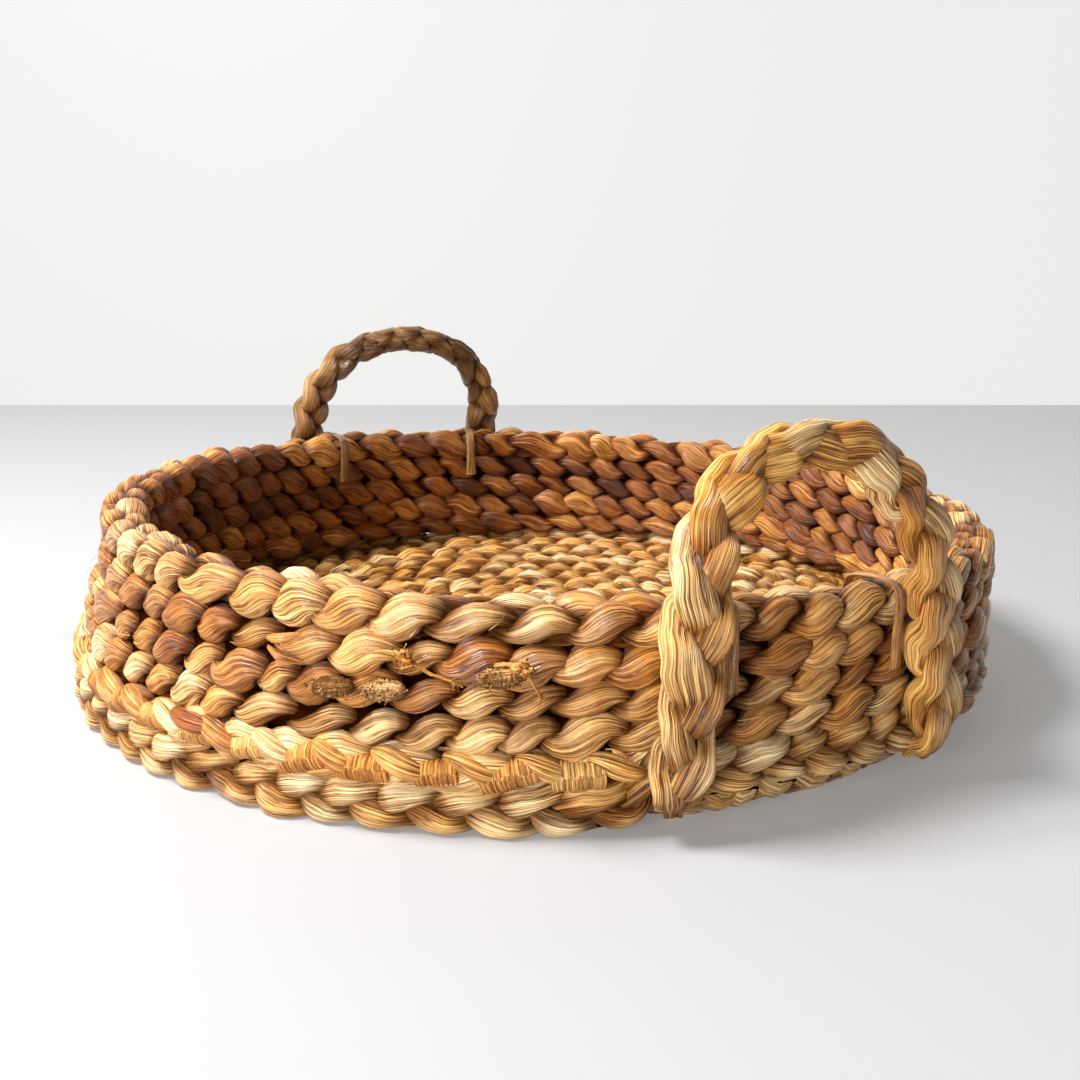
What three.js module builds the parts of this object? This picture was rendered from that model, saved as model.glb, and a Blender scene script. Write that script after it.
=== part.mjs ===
// Shallow round basket sewn from plaited water hyacinth, with two plaited loop handles.
// Millimetres, +Z up. The handles stand at +X (front) and -X (back).
// Every plait is a plain solid with the outline of the whole braid.
import * as THREE from 'three';

const DEG = Math.PI / 180;
const TURN = 2 * Math.PI;
const UP = new THREE.Vector3(0, 0, 1);

// ---- driving dimensions ----
const GAP = 0.3; // clearance between neighbouring plaits
const RING_STEPS = 36; // straight facets in one turn of a wall plait
const COIL_STEPS = 24; // and of the floor coil

const BASE_OUTER_RADIUS = 175.75; // outside of the base edge, on average
const RIM_OUTER_RADIUS = 170.75; // outside of the rim, on average
const BASE_OVAL = 0.0157; // how much longer the base is towards the low side, as a share of its radius
const RIM_OVAL = -0.0073; // the rim is a little shorter that way
const LOW_SIDE = 63 * DEG; // the rim dips towards this side, and the base is shifted away from it
const BASE_SHIFT = 7; // how far the base sits off the rim's centre
const RIM_DIP = 5; // fall of the rim on its low side
const RIM_CENTRE_HEIGHT = 60.5;
const WALL_THICKNESS = 15; // width of a wall plait, laid flat
const RIM_THICKNESS = 11;

const BASE_PLAIT_HEIGHT = 15; // the base edge stands on its side
const BASE_PLAIT_THICKNESS = 11;
const FLOOR_TOP = 12.5;
const FLOOR_PITCH = 16.5; // distance between turns of the floor coil
const FLOOR_EDGE_CLEARANCE = 3; // room for the base edge to sit off centre as it rises
const FLOOR_FLAT_RADIUS = 112; // the floor lies flat on the table inside this radius
const FLOOR_RISE_WIDTH = 38; // and rises over this width
const FLOOR_EDGE_RISE = 4;
const FLOOR_TIP_WIDTH = 3; // width of the coil's two tapered ends
const FLOOR_EYE_RADIUS = 9; // round button where the coil begins
const BUTTON_CHAMFER = 1.8;
const BUTTON_SIDES = 16;

const END_CLEARANCE = 0.4 * DEG; // between the two ends of the base edge
const SPIRAL_END = -15.5 * DEG; // where the base edge ends, under the first leg of the front handle
const LIFT = 9.2; // the base edge starts this far off the table
const LIFT_SPAN = 171 * DEG; // and reaches the table after this angle
const FILLER_START = 60 * DEG; // the wrapped course grows from nothing here,
const FILLER_FULL = 170 * DEG; // to its full height here
const FILLER_SOLID_FROM = 88 * DEG;
const WALL_COURSES = ['lower', 'middle', 'upper'];

const LEG_STAND_OFF = 0.5; // air between a handle's leg and the wall
const FOOT_HEIGHT = 5; // a handle's lowest point
const HANDLES = [
  { name: 'handle_front', facing: 0, footHalfGap: 49, rimHalfGap: 41, topHeight: 108, topRadius: 162,
    width: 18, topWidth: 14, thickness: 10, squareness: 1.0 },
  { name: 'handle_back', facing: Math.PI, footHalfGap: 49.5, rimHalfGap: 48, topHeight: 118, topRadius: 158,
    width: 15, topWidth: 11, thickness: 9, squareness: 0.85 },
];
const ARCH_START_HEIGHT = 71; // a handle's legs leave the wall here
const LEG_STEPS = 6;
const ARCH_STEPS = 28;

const LASHING_THICKNESS = 2.2;
const LASHING_BESIDE_LEG = 2.5; // air between a lashing and its leg
const LASHING_OUTSIDE_DROP = 24; // how far it runs down the wall below the rim's top, outside
const LASHING_INSIDE_DROP = 20; // and inside
const LASHING_SHOULDER = 10; // it is straight below this depth
const LASHING_BEND = 2; // and bends over the rim's edge within this distance
const LASHING_EASE = 0.8; // slack where it bends
const LASHING_STEPS = 22;
const TAIL_THICKNESS = 2.4;
const TAIL_BOW = 0.8; // how far a tail's middle stands off the wall
const TAIL_STEPS = 5;
const STUB_THICKNESS = 5;
const STUB_LENGTH = 4;
const STUB_TAPER = 0.9; // thickness of a stub's end, as a share
const STUB_SIDES = 8;

// ---- small helpers ----
const clamp01 = (x) => Math.min(1, Math.max(0, x));
const mix = (a, b, k) => a + (b - a) * k;
const smooth = (x) => {
  const k = clamp01(x);
  return k * k * (3 - 2 * k);
};
const polar = (radius, angle, z) =>
  new THREE.Vector3(radius * Math.cos(angle), radius * Math.sin(angle), z);

// Angle travelled along the spiral from the end of the base edge, from 0 to a full turn.
const travel = (angle) => THREE.MathUtils.euclideanModulo(angle - SPIRAL_END, TURN);

// ---- layers of the wall, as heights over the table at an angle ----
const liftAt = (angle) => (LIFT / 2) * (1 + Math.cos(Math.PI * clamp01(travel(angle) / LIFT_SPAN)));
const fillerAt = (angle) => LIFT * smooth((travel(angle) - FILLER_START) / (FILLER_FULL - FILLER_START));
const baseTop = (angle) => liftAt(angle) + BASE_PLAIT_HEIGHT;
const ledge = (angle) => baseTop(angle) + fillerAt(angle);
const rimCentre = (angle) => RIM_CENTRE_HEIGHT - RIM_DIP * Math.cos(angle - LOW_SIDE);
const rimBottom = (angle) => rimCentre(angle) - RIM_THICKNESS / 2;

// Share of the wall's height, 0 at the table and 1 at the rim.
const share = (z) => clamp01(z / RIM_CENTRE_HEIGHT);
const baseCentre = polar(-BASE_SHIFT, LOW_SIDE, 0);
const centreAt = (z) => baseCentre.clone().multiplyScalar(1 - share(z));
const oval = (amount, angle) => 1 + amount * Math.cos(2 * (angle - LOW_SIDE));
const outerRadiusAt = (angle, z) =>
  mix(BASE_OUTER_RADIUS * oval(BASE_OVAL, angle), RIM_OUTER_RADIUS * oval(RIM_OVAL, angle), share(z));
const wallPoint = (angle, z, inset) =>
  polar(outerRadiusAt(angle, z) - inset, angle, z).add(centreAt(z));

// ---- lofting ----
// Joins outlines with the same number of points into one closed body.
function loft(outlines, closed) {
  const sides = outlines[0].length;
  const count = outlines.length;
  const positions = outlines.flat().flatMap((p) => [p.x, p.y, p.z]);
  const index = [];
  const spans = closed ? count : count - 1;
  for (let i = 0; i < spans; i++) {
    const near = i * sides;
    const far = ((i + 1) % count) * sides;
    for (let j = 0; j < sides; j++) {
      const k = (j + 1) % sides;
      index.push(near + j, far + j, near + k);
      index.push(near + k, far + j, far + k);
    }
  }
  if (!closed) {
    const last = (count - 1) * sides;
    for (let j = 1; j < sides - 1; j++) {
      index.push(0, j, j + 1);
      index.push(last, last + j + 1, last + j);
    }
  }
  const geometry = new THREE.BufferGeometry();
  geometry.setAttribute('position', new THREE.Float32BufferAttribute(positions, 3));
  geometry.setIndex(index);
  return geometry;
}

// Eight-sided outline of a plait's section, as shares of its half width and half height.
const CORNER = 0.5;
const SECTION = [
  [1, -CORNER],
  [1, CORNER],
  [CORNER, 1],
  [-CORNER, 1],
  [-1, CORNER],
  [-1, -CORNER],
  [-CORNER, -1],
  [CORNER, -1],
];
const TWINE_SECTION = [0, 1, 2, 3, 4, 5].map((i) => [Math.cos(i * 60 * DEG), Math.sin(i * 60 * DEG)]);

const outline = (centre, across, over, halfWidth, halfHeight, section = SECTION) =>
  section.map(([u, v]) =>
    centre.clone().addScaledVector(across, u * halfWidth).addScaledVector(over, v * halfHeight));

// One outline of a plait that lies in the wall, between two heights and two insets from its outside.
function wallOutline(angle, bottom, top, insetOut, insetIn) {
  const centre = wallPoint(angle, (bottom + top) / 2, (insetOut + insetIn) / 2);
  return outline(centre, polar(1, angle, 0), UP, (insetIn - insetOut) / 2, (top - bottom) / 2);
}

// Smooth tube of twine or leaf through a few points.
function strand(points, thickness, steps) {
  const curve = new THREE.CatmullRomCurve3(points);
  const shape = new THREE.Shape(TWINE_SECTION.map(([u, v]) =>
    new THREE.Vector2((u * thickness) / 2, (v * thickness) / 2)));
  return new THREE.ExtrudeGeometry(shape, { extrudePath: curve, steps, bevelEnabled: false });
}

// ---- materials ----
const leaf = (color, roughness = 0.62) =>
  new THREE.MeshStandardMaterial({ color, roughness, metalness: 0 });

const basket = new THREE.Group();
function add(name, geometry, material) {
  const mesh = new THREE.Mesh(geometry, material);
  mesh.name = name;
  basket.add(mesh);
}

const ringAngles = Array.from({ length: RING_STEPS }, (_, i) => (i * TURN) / RING_STEPS);
const arcAngles = (from, to) => {
  const count = Math.ceil((to - from) / (TURN / RING_STEPS));
  return Array.from({ length: count + 1 }, (_, i) => mix(from, to, i / count));
};

// ---- floor: a round button and one plait coiled around it, whose last turns rise off the table ----
const floorEdgeRadius = BASE_OUTER_RADIUS - BASE_PLAIT_THICKNESS - FLOOR_EDGE_CLEARANCE;
const floorBottom = (radius) => FLOOR_EDGE_RISE * smooth((radius - FLOOR_FLAT_RADIUS) / FLOOR_RISE_WIDTH);

function floorCoil() {
  const outlines = [];
  for (let i = 0; ; i++) {
    const angle = (i * TURN) / COIL_STEPS;
    const spiral = FLOOR_EYE_RADIUS + (FLOOR_PITCH * angle) / TURN;
    const inner = Math.max(FLOOR_EYE_RADIUS, spiral - FLOOR_PITCH) + GAP;
    const outer = Math.min(spiral, floorEdgeRadius);
    if (inner > floorEdgeRadius - FLOOR_TIP_WIDTH) {
      break;
    }
    if (outer - inner > FLOOR_TIP_WIDTH) {
      const bottom = floorBottom((inner + outer) / 2);
      const stretch = oval(BASE_OVAL, angle);
      const middle = (stretch * (inner + outer)) / 2;
      const halfWidth = (stretch * (outer - inner)) / 2;
      const centre = polar(middle, angle, (bottom + FLOOR_TOP) / 2).add(baseCentre);
      outlines.push(outline(centre, polar(1, angle, 0), UP, halfWidth, (FLOOR_TOP - bottom) / 2));
    }
  }
  return loft(outlines, false);
}

function floorButton() {
  const profile = [
    [0, 0],
    [FLOOR_EYE_RADIUS - BUTTON_CHAMFER, 0],
    [FLOOR_EYE_RADIUS, BUTTON_CHAMFER],
    [FLOOR_EYE_RADIUS, FLOOR_TOP - BUTTON_CHAMFER],
    [FLOOR_EYE_RADIUS - BUTTON_CHAMFER, FLOOR_TOP],
    [0, FLOOR_TOP],
  ].map(([r, z]) => new THREE.Vector2(r, z));
  const button = new THREE.LatheGeometry(profile, BUTTON_SIDES);
  button.rotateX(90 * DEG);
  button.translate(baseCentre.x, baseCentre.y, 0);
  return button;
}

add('floor_button', floorButton(), leaf(0xb88a4c));
add('floor_coil', floorCoil(), leaf(0xd2a862));

// ---- base edge: one plait on its side, lifted where it starts ----
add(
  'base_edge_plait',
  loft(
    arcAngles(SPIRAL_END + END_CLEARANCE, SPIRAL_END + TURN - END_CLEARANCE).map((angle) =>
      wallOutline(angle, liftAt(angle), baseTop(angle) - GAP, 0, BASE_PLAIT_THICKNESS)),
    false,
  ),
  leaf(0xc79b5c),
);

// ---- wrapped course: a wedge that levels the wall over the base edge ----
add(
  'wrapped_course',
  loft(
    arcAngles(SPIRAL_END + FILLER_SOLID_FROM, SPIRAL_END + TURN - END_CLEARANCE).map((angle) =>
      wallOutline(angle, baseTop(angle), ledge(angle) - GAP, 0, WALL_THICKNESS)),
    false,
  ),
  leaf(0xa9793f),
);

// ---- wall: three plaits laid flat between the ledge and the rim ----
const courseColours = [0x8f6236, 0x87592f, 0x7c5230];
WALL_COURSES.forEach((place, i) => {
  const level = (angle, k) => mix(ledge(angle), rimBottom(angle), k / WALL_COURSES.length);
  add(
    `wall_plait_${place}`,
    loft(
      ringAngles.map((angle) =>
        wallOutline(angle, level(angle, i), level(angle, i + 1) - GAP, 0, WALL_THICKNESS)),
      true,
    ),
    leaf(courseColours[i]),
  );
});

// ---- rim ----
add(
  'rim_plait',
  loft(
    ringAngles.map((angle) =>
      wallOutline(angle, rimBottom(angle), rimBottom(angle) + RIM_THICKNESS, 0, WALL_THICKNESS)),
    true,
  ),
  leaf(0xb98d5b),
);

// ---- handles: each a plait whose legs run down the outside of the wall to the base edge ----
// Point at a distance along the wall's tangent from the handle's middle, at a radius from the centre.
function beside(facing, along, radius, z) {
  const outward = polar(1, facing, 0);
  const tangent = polar(1, facing + 90 * DEG, 0);
  const depth = Math.sqrt(radius * radius - along * along);
  return outward.multiplyScalar(depth).addScaledVector(tangent, along).setZ(z);
}

// Distance of the wall's outside from the rim's centre.
const wallReach = (angle, z) => {
  const point = wallPoint(angle, z, 0);
  return Math.hypot(point.x, point.y);
};

function handlePath(handle) {
  const { facing, footHalfGap, rimHalfGap, topHeight, topRadius, thickness, squareness } = handle;
  const legRadius = (along, z) => {
    const angle = facing + Math.asin(along / RIM_OUTER_RADIUS);
    return wallReach(angle, z) + LEG_STAND_OFF + thickness / 2;
  };
  const points = [];
  const leg = (side, k) => {
    const z = mix(FOOT_HEIGHT, ARCH_START_HEIGHT, k);
    const along = side * mix(footHalfGap, rimHalfGap, k);
    points.push(beside(facing, along, legRadius(along, z), z));
  };
  for (let i = 0; i < LEG_STEPS; i++) {
    leg(-1, i / LEG_STEPS);
  }
  for (let i = 0; i <= ARCH_STEPS; i++) {
    const swing = Math.PI * (1 - i / ARCH_STEPS);
    const cosine = Math.cos(swing);
    const rise = Math.pow(Math.sin(swing), squareness);
    const along = rimHalfGap * Math.sign(cosine) * Math.pow(Math.abs(cosine), squareness);
    const radius = mix(legRadius(rimHalfGap * Math.sign(cosine), ARCH_START_HEIGHT), topRadius, rise);
    points.push(beside(facing, along, radius, mix(ARCH_START_HEIGHT, topHeight, rise)));
  }
  for (let i = LEG_STEPS - 1; i >= 0; i--) {
    leg(1, i / LEG_STEPS);
  }
  return points;
}

function handleSolid(handle) {
  const path = handlePath(handle);
  const outlines = path.map((point, i) => {
    const before = path[Math.max(0, i - 1)];
    const after = path[Math.min(path.length - 1, i + 1)];
    const heading = after.clone().sub(before).normalize();
    const outward = new THREE.Vector3(point.x, point.y, 0).normalize();
    const across = new THREE.Vector3().crossVectors(heading, outward).normalize();
    const over = new THREE.Vector3().crossVectors(across, heading);
    const rise = smooth((point.z - ARCH_START_HEIGHT) / (handle.topHeight - ARCH_START_HEIGHT));
    const width = mix(handle.width, handle.topWidth, rise);
    return outline(point, across, over, width / 2, handle.thickness / 2);
  });
  return loft(outlines, false);
}

for (const handle of HANDLES) {
  add(handle.name, handleSolid(handle), leaf(handle.facing === 0 ? 0xc39a60 : 0x8a6a3c));
}

// ---- lashings: twine over the rim beside each leg, holding the handle to the wall ----
function lashing(handle, side) {
  const along = side * (handle.rimHalfGap - handle.width / 2 - LASHING_BESIDE_LEG);
  const angle = handle.facing + Math.asin(along / RIM_OUTER_RADIUS);
  const clear = LASHING_THICKNESS / 2 + GAP;
  const top = rimBottom(angle) + RIM_THICKNESS;
  const outside = -clear - GAP;
  const inside = WALL_THICKNESS + clear + LASHING_EASE;
  const over = [
    wallPoint(angle, top - LASHING_OUTSIDE_DROP, outside),
    wallPoint(angle, top - LASHING_SHOULDER, outside),
    wallPoint(angle, top - LASHING_BEND, outside - LASHING_EASE),
    wallPoint(angle, top + clear + LASHING_EASE, LASHING_BEND),
    wallPoint(angle, top + clear + LASHING_EASE, WALL_THICKNESS / 2),
    wallPoint(angle, top + clear + LASHING_EASE, WALL_THICKNESS - LASHING_BEND),
    wallPoint(angle, top - LASHING_BEND, inside + LASHING_EASE),
    wallPoint(angle, top - LASHING_SHOULDER, inside + LASHING_EASE / 2),
    wallPoint(angle, top - LASHING_INSIDE_DROP, inside + LASHING_EASE),
  ];
  return strand(over, LASHING_THICKNESS, LASHING_STEPS);
}

for (const handle of HANDLES) {
  for (const [side, word] of [[-1, 'left'], [1, 'right']]) {
    add(`${handle.name}_lashing_${word}`, lashing(handle, side), leaf(0xb0712f, 0.7));
  }
}

// ---- loose ends on the outside of the wall ----
// Tails of sewing twine, each at an angle and a height, lying along the wall.
const TWINE_TAILS = [
  { angle: -52.5 * DEG, z: 52, length: 12, drop: 3 },
  { angle: -37.5 * DEG, z: 50, length: 14, drop: 6 },
  { angle: -28 * DEG, z: 47, length: 5, drop: 9 },
];
const tailStandOut = -TAIL_THICKNESS / 2 - GAP * 2;
TWINE_TAILS.forEach(({ angle, z, length, drop }, i) => {
  const swing = length / 2 / RIM_OUTER_RADIUS;
  const route = [
    wallPoint(angle - swing, z + drop / 2, tailStandOut),
    wallPoint(angle, z + drop / 4, tailStandOut - TAIL_BOW),
    wallPoint(angle + swing, z - drop / 2, tailStandOut),
  ];
  add(`sewing_twine_tail_${i + 1}`, strand(route, TAIL_THICKNESS, TAIL_STEPS), leaf(0xd8922f, 0.7));
});

// Cut ends of leaf bundles, pointing out of the wall.
const STALK_STUBS = [
  { angle: -46.5 * DEG, z: 42 },
  { angle: -41.5 * DEG, z: 42.5 },
  { angle: -31 * DEG, z: 48 },
];
STALK_STUBS.forEach(({ angle, z }, i) => {
  const radius = STUB_THICKNESS / 2;
  const stub = new THREE.CylinderGeometry(radius * STUB_TAPER, radius, STUB_LENGTH, STUB_SIDES);
  stub.rotateZ(-90 * DEG);
  stub.rotateZ(angle);
  const place = wallPoint(angle, z, -STUB_LENGTH / 2 - GAP * 2);
  stub.translate(place.x, place.y, place.z);
  add(`stalk_stub_${i + 1}`, stub, leaf(0x6f5234, 0.8));
});

// The origin is under the middle of the whole basket, on the table.
const box = new THREE.Box3().setFromObject(basket);
const middle = box.getCenter(new THREE.Vector3());
basket.position.set(-middle.x, -middle.y, -box.min.z);

export default basket;
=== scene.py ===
"""Woven fruit basket: three-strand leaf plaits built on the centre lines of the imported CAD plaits."""
import math

import bpy
import numpy as np
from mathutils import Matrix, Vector


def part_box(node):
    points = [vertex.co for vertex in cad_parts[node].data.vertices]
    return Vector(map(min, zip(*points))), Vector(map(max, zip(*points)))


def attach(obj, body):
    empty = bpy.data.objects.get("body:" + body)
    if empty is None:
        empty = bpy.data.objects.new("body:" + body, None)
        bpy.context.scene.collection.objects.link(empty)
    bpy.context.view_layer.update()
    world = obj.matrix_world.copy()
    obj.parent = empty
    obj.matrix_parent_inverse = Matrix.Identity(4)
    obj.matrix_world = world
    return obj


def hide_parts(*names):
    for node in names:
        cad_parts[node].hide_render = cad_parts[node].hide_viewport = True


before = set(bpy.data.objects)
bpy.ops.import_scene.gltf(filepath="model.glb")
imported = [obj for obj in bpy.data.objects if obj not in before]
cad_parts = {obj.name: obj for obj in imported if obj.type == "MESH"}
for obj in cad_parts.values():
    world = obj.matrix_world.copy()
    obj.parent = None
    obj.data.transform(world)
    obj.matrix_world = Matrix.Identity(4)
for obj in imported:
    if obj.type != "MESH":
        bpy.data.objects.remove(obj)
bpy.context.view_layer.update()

MM = 0.001
TURN = 2 * math.pi
UP = np.array((0.0, 0.0, 1.0))
UP_VECTOR = Vector((0, 0, 1))

# ---- the basket's own directions, in degrees round the vertical ----
FRONT_AZIMUTH = -27.0  # the camera stands on this side
SEAM_AZIMUTH = -15.5  # the plaits' ends meet here, behind the front handle's left leg

# ---- camera, from the middle of the rim, in metres ----
CAMERA_DISTANCE = 0.4932
CAMERA_ASIDE = 0.0026
CAMERA_HEIGHT = 0.1597
CAMERA_PITCH = 0.226  # radians down
CAMERA_LENS = 41.67  # millimetres, on a 36 mm sensor
CAMERA_SENSOR = 36

# ---- stage, in metres ----
TABLE_REACH = 6.0
TABLE_COLOUR = (0.31, 0.31, 0.32, 1)
TABLE_GLOW = (0.19, 0.185, 0.18, 1)
BACKDROP_BEHIND = 0.85
BACKDROP_WIDTH = 6.0
BACKDROP_HEIGHT = 1.3
BACKDROP_COLOUR = (0.02, 0.02, 0.02, 1)
BACKDROP_GLOW = (0.8, 0.8, 0.784, 1)
LIGHT_DISTANCE = 1.2
LIGHT_SIZE = 0.5
WINDOW = dict(azimuth=FRONT_AZIMUTH - 74, elevation=56, power=33)
FILL = dict(azimuth=FRONT_AZIMUTH - 31, elevation=9, power=11.5)
SKY_COLOUR = (1, 0.94, 0.86, 1)
SKY_STRENGTH = 0.15

# ---- plait styles: lengths in millimetres ----
# pitch: length of one full winding. hand: which way it winds.
# thick, wide: a strand's half thickness and half breadth.
# rise: how far it leaves the plait's middle, as a share of the plait's half thickness.
# waist, plump: its size where it dives under, and how much it swells in between.
# press, lead: how long it keeps to one face, and where it changes over.
# square: below 1, a boxier section. turned: how far it stands on edge at the plait's edges.
# loose: its wander. tuck: how far its ends turn in. step, around: spacing and points of its rows.
# shade: how much painted shade darkens it between strands. inner: how much painted shade darkens the
# basket's inside.
# core: a middle tube built along the centre line, as shares of the plait.
STRANDS = 3
TABLE_CLEARANCE = 0.1 * MM
CORE_STEP = 5.0
CORE_SIDES = 12
FLOOR_SECTORS = 48  # the base edge is measured in this many directions
FLOOR_PITCH = 16.5
FLOOR_TIP = 2.5  # width at the coil's two ends
FLOOR_TUCK = 0.22  # the last turn reaches this far into the base edge's thickness
FLOOR_RISE_FROM = (112 * MM, 150 * MM)  # the floor rises between these radii
WALL = dict(
    pitch=48.0, hand=-1, thick=4.2, wide=5.3, rise=0.44, step=1.8, around=40, plump=0.44, waist=0.58,
    press=0.6, square=0.88, turned=1.0, lead=0.1, loose=0.4, tuck=0.0, shade=0.85, inner=0.28,
    core=(0.62, 1.05))
RIM = dict(WALL, core=(0.5, 0.6), pitch=51.0, thick=4.4, wide=5.7, plump=0.5)
WRAPPED = dict(WALL, pitch=52.5, rise=0.34, wide=5.6, plump=0.36, waist=0.7)
BASE = dict(
    WALL, pitch=52.0, hand=1, thick=3.2, wide=4.9, rise=0.42, step=1.9, plump=0.3, waist=0.76,
    shade=0.6, inner=0.0, core=(0.82, 0.35))
HANDLE = dict(
    WALL, pitch=57.0, hand=1, thick=2.7, wide=6.1, rise=0.5, step=1.3, plump=0.14, waist=0.9,
    press=1.5, square=0.82, turned=0.5, lead=0.45, loose=0.15, tuck=6.0, shade=0.45, inner=0.0,
    core=None)
BACK_HANDLE = dict(HANDLE, pitch=46.0, wide=4.8, thick=2.6)
FLOOR = dict(
    WALL, pitch=46.0, hand=1, thick=3.8, wide=5.0, rise=0.42, step=3.2, around=14, plump=0.3,
    waist=0.76, shade=0.7, inner=0.0, core=(1.03, 0.4))
FOLDS = 8  # creases along each lobe
HANDLE_REACH = (9.2 * MM, 5.2 * MM)  # limits of a handle's half width and half thickness

# ---- small parts: lengths in millimetres ----
BINDING_PITCH = 20.0
BINDING_LENGTH = 15.0
BINDING_RADIUS = 4.2
BINDING_TURN = 1.35
BINDING_START = 0.15  # share of the wrapped course that has no bindings
GLOSSY_PLACE = 127.0  # back from the wrapped course's end
STITCH_RISE = 7.0  # a tail that rises less than this lies flat, without a knot
FIBRES_PER_COURSE = 26


# ---------------------------------------------------------------- centre lines
def triangles(node):
    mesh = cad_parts[node].data
    mesh.calc_loop_triangles()
    points = np.empty(len(mesh.vertices) * 3)
    mesh.vertices.foreach_get("co", points)
    corners = np.empty(len(mesh.loop_triangles) * 3, np.int32)
    mesh.loop_triangles.foreach_get("vertices", corners)
    return points.reshape(-1, 3)[corners].reshape(-1, 3, 3)


def cut(tris, origin, normal, toward):
    """Where a half plane that starts at origin cuts a node's surface."""
    a = tris.reshape(-1, 3)
    b = tris[:, [1, 2, 0]].reshape(-1, 3)
    side_a = (a - origin) @ normal
    side_b = (b - origin) @ normal
    crossed = side_a * side_b < 0
    share = side_a[crossed] / (side_a[crossed] - side_b[crossed])
    points = a[crossed] + (b[crossed] - a[crossed]) * share[:, None]
    return points[(points - origin) @ toward > 0]


def unit(v):
    return v / np.linalg.norm(v, axis=-1, keepdims=True)


def smoothstep(x):
    x = np.clip(x, 0, 1)
    return x * x * (3 - 2 * x)


class Line:
    """A plait's centre line. wide runs across the braid, face is the side it shows."""

    FINE = 12

    def __init__(self, centre, wide, face, half, closed):
        rows = np.hstack([centre, wide, face, half])
        before, after = (rows[-1:], rows[:2]) if closed else (rows[:1], rows[-1:])
        rows = np.vstack([before, rows, after])
        t = np.linspace(0, 1, self.FINE, endpoint=False)[:, None]
        dense = []
        for i in range(1, len(rows) - 2):
            p0, p1, p2, p3 = rows[i - 1], rows[i], rows[i + 1], rows[i + 2]
            bend = 2 * p0 - 5 * p1 + 4 * p2 - p3
            twist = 3 * p1 - p0 - 3 * p2 + p3
            dense.append(0.5 * (2 * p1 + (p2 - p0) * t + bend * t**2 + twist * t**3))
        dense.append(rows[-2][None])
        self.rows = np.vstack(dense)
        steps = np.linalg.norm(np.diff(self.rows[:, :3], axis=0), axis=1)
        self.s = np.concatenate([[0], np.cumsum(steps)])
        self.length = self.s[-1]
        self.closed = closed

    def at(self, s):
        s = s % self.length if self.closed else s
        cols = np.stack([np.interp(s, self.s, c) for c in self.rows.T], axis=1)
        wide = unit(cols[:, 3:6])
        face = cols[:, 6:9]
        face = unit(face - wide * (face * wide).sum(1, keepdims=True))
        return cols[:, :3], wide, face, cols[:, 9], cols[:, 10]

    def spot(self, s):
        """Centre and half width in millimetres, and the directions, at one place."""
        centre, wide, face, half_wide, _ = (x[0] for x in self.at(np.array([s])))
        return centre / MM, wide, face, half_wide / MM


def centre_of(node):
    low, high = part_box(node)
    return np.array((low + high) / 2)


def ring_line(node, upright=False, stations=72):
    """Centre line of a plait that goes round the basket, by cutting it every few degrees."""
    tris = triangles(node)
    middle = centre_of("rim_plait") * (1, 1, 0)
    centre, wide, face, half = [], [], [], []
    angles = math.radians(SEAM_AZIMUTH) + np.arange(stations) * TURN / stations
    kept = []
    for angle in angles:
        out = np.array((math.cos(angle), math.sin(angle), 0))
        side = np.array((-out[1], out[0], 0))
        points = cut(tris, middle, side, out)
        kept.append(len(points) > 2)
        if not kept[-1]:
            continue
        reach = (points - middle) @ out
        low, high = points[:, 2].min(), points[:, 2].max()
        centre.append(middle + out * (reach.min() + reach.max()) / 2 + UP * (low + high) / 2)
        radial = (reach.max() - reach.min()) / 2
        upward = (high - low) / 2
        wide.append(UP if upright else out)
        face.append(out if upright else UP)
        half.append((upward, radial) if upright else (radial, upward))
    arrays = [np.array(x) for x in (centre, wide, face, half)]
    closed = all(kept)
    if not closed:  # start after the gap
        gap = kept.index(False)
        start = sum(kept[:gap])
        arrays = [np.roll(x, -start, axis=0) for x in arrays]
    return Line(*arrays, closed)


def handle_line(node, stations=26, leg_stations=6):
    """Centre line of a handle, from the foot on the left of someone facing it from outside."""
    tris = triangles(node)
    low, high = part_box(node)
    rim_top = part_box("rim_plait")[1].z
    middle = centre_of(node)
    outward = np.array((math.copysign(1.0, middle[0]), 0, 0))
    right = np.cross(UP, outward)
    hub = middle * (1, 1, 0) + UP * rim_top
    centre, half = [], []

    def station(points, across):
        reach = (points - hub) @ across
        depth = (points - hub) @ outward
        height = (points - hub) @ np.cross(outward, across)
        a, b, c = ((x.min() + x.max()) / 2 for x in (reach, depth, height))
        centre.append(hub + across * a + outward * b + np.cross(outward, across) * c)
        half.append(((reach.max() - reach.min()) / 2, (depth.max() - depth.min()) / 2))

    foot = low.z + 2 * MM
    leg_heights = np.linspace(foot, rim_top, leg_stations, endpoint=False)
    for z in leg_heights:
        station(cut(tris, hub * (1, 1, 0) + UP * z, UP, -right), -right)
    for angle in np.linspace(math.pi, 0, stations):
        across = right * math.cos(angle) + UP * math.sin(angle)
        station(cut(tris, hub, np.cross(outward, across), across), across)
    for z in leg_heights[::-1]:
        station(cut(tris, hub * (1, 1, 0) + UP * z, UP, right), right)
    centre, half = np.array(centre), np.array(half)
    for _ in range(4):
        centre[1:-1] = (centre[:-2] + 2 * centre[1:-1] + centre[2:]) / 4
        half[1:-1] = (half[:-2] + 2 * half[1:-1] + half[2:]) / 4
    along = unit(np.gradient(centre, axis=0))
    face = unit((centre - centre_of("rim_plait")) * (1, 1, 0))
    face = unit(face - along * (face * along).sum(1, keepdims=True))
    wide = unit(np.cross(face, along))
    half = np.clip(half, 0, HANDLE_REACH)
    return Line(centre, wide, face, half, False)


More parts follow.
